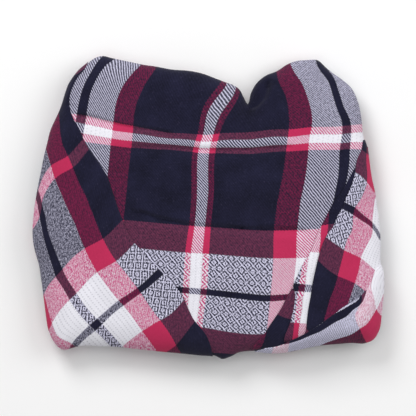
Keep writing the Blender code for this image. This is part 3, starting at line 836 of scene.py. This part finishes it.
def stripes(position, soft, marks):
    """White and crimson shares of one set of yarns, from where each colour begins and ends."""
    edges = sorted({edge for spans in marks.values() for span in spans for edge in span if edge})
    passed = {0: 1, **{edge: position.past(edge, soft) for edge in edges}}
    shares = []
    for colour in ("white", "crimson"):
        share = 0
        for low, high in marks[colour]:
            share = share + (passed[low] - passed[high])
        shares.append(share)
    return shares


# Where each colour begins and ends, counted either way from the middle of the narrow triple stripe and
# band, how far the narrow ones reach, and how softly one colour meets the next, in millimetres of cloth
WARP_MARKS = {"white": ((0, 5.5), (99.5, 130.5)), "crimson": ((5.5, 11.5), (77.5, 99.5))}
WEFT_MARKS = {"white": ((0, 4), (112, 148)), "crimson": ((4, 11), (85, 112))}
PLAIN_WEFT_MARKS = {"white": ((112, 148),), "crimson": ((0, 6.5), (85, 112))}
WARP_REPEAT = 271
WEFT_REPEAT = 302.5
NARROW_STRIPE = 30
NARROW_BAND = 60
STRIPE_BLUR = 0.6

# The weave: ribs for a millimetre of weft, the diamond figure, the fine hatch in radians for a millimetre,
# the tiny pits in the white, and the depth that all of it seems to have
RIBS_PER_MM = 0.34
DIAMOND_WIDTH = 11.6
DIAMOND_LENGTH = 11.4
HATCH = 3.1
PIT_WIDTH = 4.9
PIT_LENGTH = 2.9
RELIEF = 0.35 * MM


def plaid_cloth(name, colours, weft_marks, side, slant):
    """Brushed twill woven in checks, from its face (1) or its back (-1), with a small diamond figure."""
    finish = Finish(name)
    warp, weft, place = finish.cloth_place()
    nap = Value(finish, finish.node("ShaderNodeAttribute", {"attribute_name": NAP_LAYER}).outputs["Fac"])

    # The weave: ribs that slant across the cloth, a little uneven as yarn is
    slow = finish.noise(place, 0.045, 2)
    wander = finish.noise(place, 0.16, 1)
    fleck = finish.noise(place, 0.9, 2, 0.7)
    fluff = finish.noise(place, 0.42, 3, 0.65)
    rib_run = weft * RIBS_PER_MM - warp * slant + wander * 0.4
    rib = rib_run.to_and_fro(0.5) * 2
    ripple = (rib - 0.5) * 0.5 + (fleck - 0.5) * 0.7

    warp_run = (warp + ripple).to_and_fro(WARP_REPEAT / 2)
    weft_run = (weft + ripple).to_and_fro(WEFT_REPEAT / 2)
    warp_white, warp_crimson = stripes(warp_run, STRIPE_BLUR, WARP_MARKS)
    weft_white, weft_crimson = stripes(weft_run, STRIPE_BLUR, weft_marks)
    warp_dark = 1 - warp_white - warp_crimson
    weft_dark = 1 - weft_white - weft_crimson

    # The diamond figure
    along = warp / DIAMOND_WIDTH + wander * 0.1
    down = weft / DIAMOND_LENGTH - wander * 0.09
    beside, below = along.centred(), down.centred()
    rings = ((abs(beside) + abs(below)) * 3 + 0.5).wave()
    falling = (-beside * below).past(0, 0.1)
    floats = rings * (0.28 + falling * 0.5) + (along * 3 - down * 2).wave() * 0.25
    figure = 0.02 + (floats + (fleck - 0.5) * 3.2).past(0.06, 0.62) * 0.94
    thin_crimson = warp.to_and_fro(WARP_REPEAT / 2).past(NARROW_STRIPE, 0.5)
    figured = (warp_dark + warp_crimson * (1 - thin_crimson)) * weft_white
    figured = figured * weft.to_and_fro(WEFT_REPEAT / 2).past(NARROW_BAND, 0.5)

    # Which yarn lies on top: white warp is the sparser, and brushing blurs the ribs into streaks
    lean = (warp_white * (1 - weft_white) - weft_white * (1 - warp_white)) * side
    reds = warp_crimson + weft_crimson
    sharp = (rib - lean * (0.13 - reds * 0.05)).past(0.53, 0.38)
    streak = (fleck - 0.5) * 1.5 + (fluff - 0.5) * 1.3 + (rib - 0.5) * 0.22
    raised = nap * nap * (1 - nap)
    brushed = 0.6 - nap * 0.225 + raised * 1.1 - lean * (0.2 - reds * 0.1)
    brushed = brushed + warp_crimson * weft_white * 0.17 + streak
    on_top = sharp + (brushed - sharp) * nap
    hatch = (warp * HATCH).sine() * (weft * HATCH).sine()
    plain = warp_crimson * thin_crimson * weft_white * (1 - nap)
    on_top = on_top + (0.55 + hatch * 0.3 + (fluff - 0.5) * 0.5 - on_top) * plain
    on_top = on_top + (1 - figure - on_top) * figured

    # Colours of the two yarns, then of the cloth
    navy, white, crimson = opaque(colours.navy), opaque(colours.white), opaque(colours.crimson)
    over_white = warp_crimson * weft_white + weft_crimson * warp_white
    crimson = finish.colour(over_white, crimson, opaque(colours.rose))
    warp_red = finish.colour(weft_dark, crimson, opaque(colours.wine))
    weft_red = finish.colour(warp_dark, crimson, opaque(colours.plum))
    warp_yarn = finish.colour(warp_white, finish.colour(warp_crimson, navy, warp_red), white)
    weft_yarn = finish.colour(weft_white, finish.colour(weft_crimson, navy, weft_red), white)
    dull_warp, dull_weft = warp_crimson * weft_dark, warp_dark * weft_crimson
    mottle = (fluff - 0.5) * 1.5 + (fleck - 0.5) * 0.9 + (rib - 0.5) * 0.4
    show = on_top + (0.36 + nap * 0.3 + mottle - on_top) * dull_warp
    show = show + (0.36 - mottle - show) * dull_weft
    cloth = finish.colour(show, weft_yarn, warp_yarn)
    cool = (warp_white * weft_dark + warp_dark * weft_white) * (0.9 + raised * 2)
    cloth = finish.colour(cool, cloth, (0.86, 0.85, 1, 1), "MULTIPLY")

    # Rows of tiny pits in the plain white, faded patches and lint
    pit_row = (warp / PIT_WIDTH + wander * 0.1).wave() - 0.62
    pit = (weft / PIT_LENGTH + warp * 0.1).wave() + (fleck - 0.5) * 3.5 - 0.1
    pits = pit_row.past(0, 0.35) * pit.past(0, 0.6) * warp_white * weft_white * (0.4 + nap * 0.6)
    cloth = finish.colour(pits * 0.36, cloth, opaque(shade(128, 127, 140)))
    dark = warp_dark * weft_dark
    wear = (rib - 0.5) * 0.3 + (fluff - 0.5) * 0.7 + (slow - 0.5) * 0.8
    tone = 0.93 + slow * 0.12 + (fluff - 0.5) * 0.16 + dark * wear
    grey = finish.node("ShaderNodeCombineColor", inputs={0: tone, 1: tone, 2: tone}).outputs[0]
    cloth = finish.colour(1.0, cloth, grey, "MULTIPLY")
    lint = fluff.past(0.72, 0.1) * 0.05
    cloth = finish.colour(lint, cloth, opaque(shade(170, 150, 175)))

    relief = rib * (0.55 - nap * 0.4) + fleck * 0.5 + fluff * 0.5 + figure * figured * 0.9
    bump = finish.node("ShaderNodeBump", inputs={"Strength": 0.55, "Distance": RELIEF, "Height": relief})
    finish.surface({"Base Color": cloth, "Roughness": 0.86 + fleck * 0.12, "Normal": bump.outputs[0]})
    finish.surface({"Sheen Weight": 0.1, "Sheen Roughness": 0.6, "Sheen Tint": (0.9, 0.88, 0.95, 1)})
    finish.surface({"Specular IOR Level": 0.03})
    return finish.material


def floor_finish(colour):
    """Matt pale studio floor with a very slight mottle."""
    finish = Finish("studio_floor")
    place = finish.node("ShaderNodeTexCoord").outputs["Object"]
    noise = finish.node("ShaderNodeTexNoise", inputs={"Vector": place, "Scale": 6.0})
    mottle = Value(finish, noise.outputs[0])
    tint = finish.colour(mottle * 0.05, opaque(colour), (0.8, 0.8, 0.82, 1))
    finish.surface({"Base Color": tint, "Roughness": 0.9 + mottle * 0.05, "Specular IOR Level": 0.1})
    return finish.material


# Each kind of cloth: its weft stripes, face (1) or back (-1) up, and its ribs for a millimetre of warp
CLOTHS = {
    "plaid_twill": (WEFT_MARKS, 1, 0.345),
    "plaid_twill_plain_band": (PLAIN_WEFT_MARKS, 1, 0.345),
    "plaid_twill_back": (PLAIN_WEFT_MARKS, -1, -0.17),
}


def plaid(name="plaid_twill"):
    """The scarf's cloth, made once for each kind of narrow band and each side."""
    colours = bpy.context.scene.scarf_colours
    return bpy.data.materials.get(name) or plaid_cloth(name, colours, *CLOTHS[name])


def place_piece(obj, material, node):
    """What every stretch of cloth is told alike."""
    obj.data.materials.append(material)
    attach(obj, "root")
    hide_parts(node)


def nap_at(places, patches, base):
    """How brushed the cloth is at each place, from soft round patches: x, y, reach, nap there."""
    nap = np.full(len(places), float(base))
    for x, y, reach, value in patches:
        away = np.linalg.norm(places / MM - np.array([x, y]), axis=1)
        share = 1 - smoothstep((away / reach - 0.6) / 0.8)
        nap += (value - nap) * share
    return nap


# How far out a wrap begins to settle to its rim, how far in a free edge droops, and over how much of the
# way in from the rim the creases grow to their full depth
SETTLE_FROM = 0.375
WRAP_EDGE = 6 * MM
LAYER_EDGE = 5 * MM
WRAP_RIM_FADE = 9 * MM
PANEL_RIM_FADE = 10 * MM


def wrap_sections(bundle, table, cells, folds, swell):
    """A stretch that comes over the top from its visible edge to the rim, and round the side."""
    at = even_steps(table, cells[0])
    edges = spline(table, at)
    stations = [bundle.rim.nearest(*row[2:4]) for row in table]
    for k in range(1, len(stations)):
        while stations[k] < stations[k - 1] - bundle.rim.rows / 2:
            stations[k] += bundle.rim.rows
        while stations[k] > stations[k - 1] + bundle.rim.rows / 2:
            stations[k] -= bundle.rim.rows
    stations = np.interp(at, np.arange(len(table)), stations)
    share = np.sin(np.linspace(0, math.pi / 2, cells[1] + 1))
    solids, flats = [], []
    for row, station in zip(edges, stations, strict=True):
        rim = bundle.rim.point(station)[0]
        edge = row[:2] * MM
        settle = smoothstep((share - SETTLE_FROM) / (1 - SETTLE_FROM))
        lift = row[4] + (row[5] - row[4]) * settle
        reach = row[5] * bundle.sizes.rim_step
        flat = edge + (rim - edge) * share[:, None]
        places = flat - bundle.rim.inward(station)[0] * reach * share[:, None]
        inset = bundle.rim.distance(flat) - reach * share
        from_edge = share * np.linalg.norm(rim - edge)
        fade = smoothstep(inset / WRAP_RIM_FADE) * smoothstep(0.25 + from_edge / WRAP_EDGE)
        heights = bundle.height(inset, lift) - droop(from_edge, WRAP_EDGE)
        heights -= (pressed(places, folds) + unevenness(places, swell)) * fade
        side, unrolled = bundle.side(station, row[5])
        solids.append(np.vstack([np.column_stack([places, heights]), side]))
        flats.append(np.vstack([places, unrolled]))
    return np.array(solids), np.array(flats)


def layer_sections(bundle, table, cells, swell):
    """A layer that lies flat between two others, from its visible edge to its hidden one."""
    edges = spline(table, even_steps(table, cells[0]))
    share = np.linspace(0, 1, cells[1] + 1)
    solids, flats = [], []
    for row in edges:
        places = (row[:2] + (row[2:4] - row[:2]) * share[:, None]) * MM
        from_edge = share * np.linalg.norm(row[2:4] - row[:2]) * MM
        heights = bundle.height(bundle.rim.distance(places), row[4]) - droop(from_edge, LAYER_EDGE)
        heights -= unevenness(places, swell)
        solids.append(np.column_stack([places, heights]))
        flats.append(places)
    return np.array(solids), np.array(flats)


class SCARF_OT_centre_panel(bpy.types.Operator):
    """Lay the centre stretch with the upright stripes over the bundle"""

    bl_idname = "scarf.centre_panel"
    bl_label = "Centre panel"

    COLUMNS = 190
    ROWS = 176
    NAP = 0.3

    def execute(self, context):
        bundle = Bundle(context.scene.scarf_sizes)
        rim = bundle.rim
        half = self.COLUMNS // 2
        left_top = rim.nearest(*PANEL_LEFT[:2]) - rim.rows
        tops = np.append(
            np.linspace(left_top, NOTCH_ROW, half, endpoint=False),
            np.linspace(NOTCH_ROW, rim.nearest(*PANEL_RIGHT[:2]), half + 1),
        )
        bottom_ends = rim.nearest(*PANEL_LEFT[2:]), rim.nearest(*PANEL_RIGHT[2:])
        bottoms = np.linspace(*bottom_ends, self.COLUMNS + 1)
        # Rows lie closer together near both rims
        even = np.linspace(0, 1, self.ROWS + 1)
        share = even - 0.5 * np.sin(2 * math.pi * even) / (2 * math.pi)
        solids, flats = [], []
        for top, bottom in zip(tops, bottoms, strict=True):
            start, end = rim.point(top)[0], rim.point(bottom)[0]
            places = start + (end - start) * share[:, None]
            inset = rim.distance(places)
            fade = smoothstep(inset / PANEL_RIM_FADE)
            heights = bundle.height(inset, 0)
            heights -= (pressed(places, PANEL_FOLDS) + unevenness(places, SWELL)) * fade
            first, first_flat = bundle.side(top, 0)
            last, last_flat = bundle.side(bottom, 0)
            solids.append(np.vstack([first[::-1], np.column_stack([places, heights]), last]))
            flats.append(np.vstack([first_flat[::-1], places, last_flat]))
        sections = np.array(solids), np.array(flats)
        charts = PANEL_WARP, PANEL_WEFT
        obj = cloth_piece("centre_cloth", sections, charts, self.NAP, PANEL_NAP)
        place_piece(obj, plaid(), "centre_panel")
        return {"FINISHED"}


class SCARF_OT_left_wrap(bpy.types.Operator):
    """Wrap the left stretch over the centre panel and round the side"""

    bl_idname = "scarf.left_wrap"
    bl_label = "Left wrap"

    CELLS = (130, 44)
    NAP = 0.97

    def execute(self, context):
        bundle = Bundle(context.scene.scarf_sizes)
        sections = wrap_sections(bundle, LEFT_WRAP, self.CELLS, LEFT_WRAP_FOLDS, SWELL)
        charts = LEFT_WRAP_WARP, LEFT_WRAP_WEFT
        obj = cloth_piece("left_wrap_cloth", sections, charts, self.NAP)
        cloth = plaid("plaid_twill_plain_band")
        place_piece(obj, cloth, "left_wrap")
        return {"FINISHED"}


class SCARF_OT_right_wrap(bpy.types.Operator):
    """Wrap the right stretch over the centre panel and round the side"""

    bl_idname = "scarf.right_wrap"
    bl_label = "Right wrap"

    CELLS = (90, 30)
    NAP = 0.95

    def execute(self, context):
        bundle = Bundle(context.scene.scarf_sizes)
        sections = wrap_sections(bundle, RIGHT_WRAP, self.CELLS, RIGHT_WRAP_FOLDS, SWELL)
        charts = RIGHT_WRAP_WARP, RIGHT_WRAP_WEFT
        obj = cloth_piece("right_wrap_cloth", sections, charts, self.NAP)
        place_piece(obj, plaid(), "right_wrap")
        return {"FINISHED"}


class SCARF_OT_inner_layers(bpy.types.Operator):
    """Lay the two layers that show between the centre panel and the right wrap"""

    bl_idname = "scarf.inner_layers"
    bl_label = "Inner layers"

    CELLS = (50, 16)
    NAP = 0.4
    SWELL = 0.1 * MM

    def execute(self, context):
        inner_charts, tail_charts = (INNER_WARP, INNER_WEFT), (TAIL_WARP, TAIL_WEFT)
        layers = (
            ("inner_right_cloth", INNER_RIGHT_LAYER, inner_charts, "inner_right_layer", (0.032, 0.15)),
            ("corner_tail_cloth", CORNER_TAIL, tail_charts, "corner_tail", (0.03, 0.068)),
        )
        bundle = Bundle(context.scene.scarf_sizes)
        for name, table, charts, node, flat in layers:
            sections = layer_sections(bundle, table, self.CELLS, self.SWELL)
            obj = cloth_piece(name, sections, charts, self.NAP)
            place_piece(obj, plaid(), node)
        return {"FINISHED"}


class SCARF_OT_lower_right_fold(bpy.types.Operator):
    """Turn the lower right fold over the right wrap and under the bundle"""

    bl_idname = "scarf.lower_right_fold"
    bl_label = "Lower right fold"

    CELLS = (90, 24)
    NAP = 0.45
    SWELL = 0.12 * MM

    def execute(self, context):
        bundle = Bundle(context.scene.scarf_sizes)
        sections = wrap_sections(bundle, LOWER_RIGHT_FOLD, self.CELLS, LOWER_FOLD_FOLDS, self.SWELL)
        charts = LOWER_FOLD_WARP, LOWER_FOLD_WEFT
        obj = cloth_piece("lower_fold_cloth", sections, charts, self.NAP, LOWER_FOLD_NAP)
        place_piece(obj, plaid("plaid_twill_back"), "lower_right_fold")
        return {"FINISHED"}


class SCARF_OT_folded_leaves(bpy.types.Operator):
    """Stack the folded leaves that show round the sides under the cover"""

    bl_idname = "scarf.folded_leaves"
    bl_label = "Folded leaves"

    NAMES = ("folded_leaves", "second_leaf", "third_leaf", "top_leaf")
    INSETS = (5.5, 3.2, 4.6, 7.5)
    STATIONS = 300
    TURNS = np.linspace(-0.5, 0.5, 9) * math.pi
    PLAY = 0.15 * MM
    BEHIND = 8 * MM
    CLOTH = 0.9 * MM
    NAP = 0.6
    MAP_TURN = 0.35
    MAP_SHIFT = (61, 83)
    MAP_RISE = 3.0
    WELD = 0.001 * MM

    def execute(self, context):
        bundle = Bundle(context.scene.scarf_sizes)
        sizes = bundle.sizes
        stations = np.linspace(0, bundle.rim.rows, self.STATIONS, endpoint=False)
        rim, inward = bundle.rim.point(stations), bundle.rim.inward(stations)
        angle = np.arctan2(rim[:, 1], rim[:, 0])
        half = sizes.leaf / 2
        for i, leaf_inset in enumerate(self.INSETS):
            wander = 1.1 * np.sin((2 + i) * angle + 1.7 * i) + 0.5 * np.sin((7 + 3 * i) * angle + i)
            nose = (leaf_inset + wander) * MM
            turned = [nose + half * (1 - math.cos(turn)) for turn in self.TURNS]
            middle = (i + 0.5) * sizes.leaf
            heights = [middle + (half - self.PLAY) * math.sin(turn) for turn in self.TURNS]
            fold = [rim + inward * inset[:, None] for inset in turned]
            behind = rim + inward * (nose + self.BEHIND)[:, None]
            under = (behind, i * sizes.leaf + self.PLAY)
            over = (behind, (i + 1) * sizes.leaf - self.PLAY)
            inner = (0, 0.2, 0.4, 0.6, 0.8, 0.92) if i == 0 else (0.85, 0.93)
            flat = [(under[0] * share, under[1]) for share in inner]
            back = [(over[0] * share, over[1]) for share in (0.93, 0.85)]
            rings = [*flat, under, *zip(fold, heights), over, *back]
            self.leaf(i, [np.column_stack([place, np.full(len(place), z)]) for place, z in rings])
        return {"FINISHED"}

    def leaf(self, i, rings):
        """One leaf: a turned-over band of cloth all round, the lowest one over the whole underside."""
        across, around = len(rings) - 1, self.STATIONS
        bm = bmesh.new()
        bmesh.ops.create_grid(bm, x_segments=across, y_segments=around, size=1)
        cloth_map = bm.loops.layers.uv.new(CLOTH_MAP)
        nap_layer = bm.verts.layers.float.new(NAP_LAYER)
        turned, leaning = math.cos(self.MAP_TURN * i), math.sin(self.MAP_TURN * i)
        charted = {}
        for vert in bm.verts:
            r = round((vert.co.x + 1) / 2 * across)
            s = round((vert.co.y + 1) / 2 * around) % around
            vert.co = rings[r][s]
            vert[nap_layer] = self.NAP
            x, y, z = rings[r][s] / MM
            warp = x * turned - y * leaning + self.MAP_SHIFT[0] * i
            weft = x * leaning + y * turned + self.MAP_RISE * z + self.MAP_SHIFT[1] * i
            charted[vert] = (warp, weft)
        for face in bm.faces:
            for loop in face.loops:
                loop[cloth_map].uv = charted[loop.vert]
        bmesh.ops.remove_doubles(bm, verts=bm.verts, dist=self.WELD)
        bm.normal_update()
        outward = 0
        for face in bm.faces:
            outward += face.normal.dot(Vector((*face.calc_center_median().xy, 0))) * face.calc_area()
        if outward < 0:
            bmesh.ops.reverse_faces(bm, faces=bm.faces)
        obj = finished(self.NAMES[i], bm, self.CLOTH)
        below = [self.NAMES[i - 1]] if i else []
        place_piece(obj, plaid(), "folded_core")


class SCARF_OT_stage(bpy.types.Operator):
    """Set the pale floor, the soft lights and the camera straight above"""

    bl_idname = "scarf.stage"
    bl_label = "Stage"

    VIEW_WIDTH = 0.416
    VIEW_FROM = (-1.4 * MM, 0.3 * MM, 1.2)
    FLOOR_HALF = 2.5
    WORLD_STRENGTH = 0.3
    LIT_PLACE = (0, 0, 0.03)
    LIGHTS = (
        ("high_softbox", (0, 0, 2.2), 1.8, 13),
        ("key", (-1.0, 1.65, 1.7), 1.1, 36),
        ("right_fill", (1.6, 0.7, 1.5), 1.5, 19),
    )

    def execute(self, context):
        bm = bmesh.new()
        bmesh.ops.create_grid(bm, x_segments=8, y_segments=8, size=self.FLOOR_HALF)
        mesh = bpy.data.meshes.new("studio_floor")
        bm.to_mesh(mesh)
        bm.free()
        floor = bpy.data.objects.new("studio_floor", mesh)
        context.scene.collection.objects.link(floor)
        mesh.materials.append(floor_finish(context.scene.scarf_colours.floor))
        for name, place, size, power in self.LIGHTS:
            self.light(name, place, size, power)
        world = bpy.data.worlds.new("studio")
        world.use_nodes = True
        background = world.node_tree.nodes["Background"]
        background.inputs[0].default_value = (1, 1, 1, 1)
        background.inputs[1].default_value = self.WORLD_STRENGTH
        context.scene.world = world
        context.scene.view_settings.view_transform = "Standard"
        camera = bpy.data.cameras.new("camera")
        camera.type = "ORTHO"
        camera.ortho_scale = self.VIEW_WIDTH
        obj = bpy.data.objects.new("camera", camera)
        obj.location = self.VIEW_FROM
        context.scene.collection.objects.link(obj)
        context.scene.camera = obj
        return {"FINISHED"}

    def light(self, name, place, size, power):
        """One square soft light that faces the bundle."""
        lamp = bpy.data.lights.new(name, "AREA")
        lamp.size = size
        lamp.energy = power
        obj = bpy.data.objects.new(name, lamp)
        obj.location = place
        towards = Vector(self.LIT_PLACE) - Vector(place)
        obj.rotation_euler = towards.to_track_quat("-Z", "Y").to_euler()
        bpy.context.scene.collection.objects.link(obj)


class SCARF_PT_pieces(bpy.types.Panel):
    """The scarf's sizes, colours and pieces"""

    bl_idname = "SCARF_PT_pieces"
    bl_label = "Folded scarf"
    bl_space_type = "VIEW_3D"
    bl_region_type = "UI"
    bl_category = "Scarf"

    def draw(self, context):
        for group in (context.scene.scarf_sizes, context.scene.scarf_colours):
            for name in group.__annotations__:
                self.layout.prop(group, name)
        for operator in OPERATORS:
            self.layout.operator(operator.bl_idname)


OPERATORS = (
    SCARF_OT_stage,
    SCARF_OT_folded_leaves,
    SCARF_OT_centre_panel,
    SCARF_OT_left_wrap,
    SCARF_OT_inner_layers,
    SCARF_OT_right_wrap,
    SCARF_OT_lower_right_fold,
)


CLASSES = (ScarfSizes, ScarfColours, *OPERATORS, SCARF_PT_pieces)


def register():
    for kind in CLASSES:
        bpy.utils.register_class(kind)
    bpy.types.Scene.scarf_sizes = bpy.props.PointerProperty(type=ScarfSizes)
    bpy.types.Scene.scarf_colours = bpy.props.PointerProperty(type=ScarfColours)


def unregister():
    del bpy.types.Scene.scarf_colours
    del bpy.types.Scene.scarf_sizes
    for kind in reversed(CLASSES):
        bpy.utils.unregister_class(kind)


def main():
    """Build the pieces from the lowest up."""
    register()
    bpy.ops.scarf.stage()
    bpy.ops.scarf.folded_leaves()
    bpy.ops.scarf.centre_panel()
    bpy.ops.scarf.left_wrap()
    bpy.ops.scarf.inner_layers()
    bpy.ops.scarf.right_wrap()
    bpy.ops.scarf.lower_right_fold()


if __name__ == "__main__":
    main()
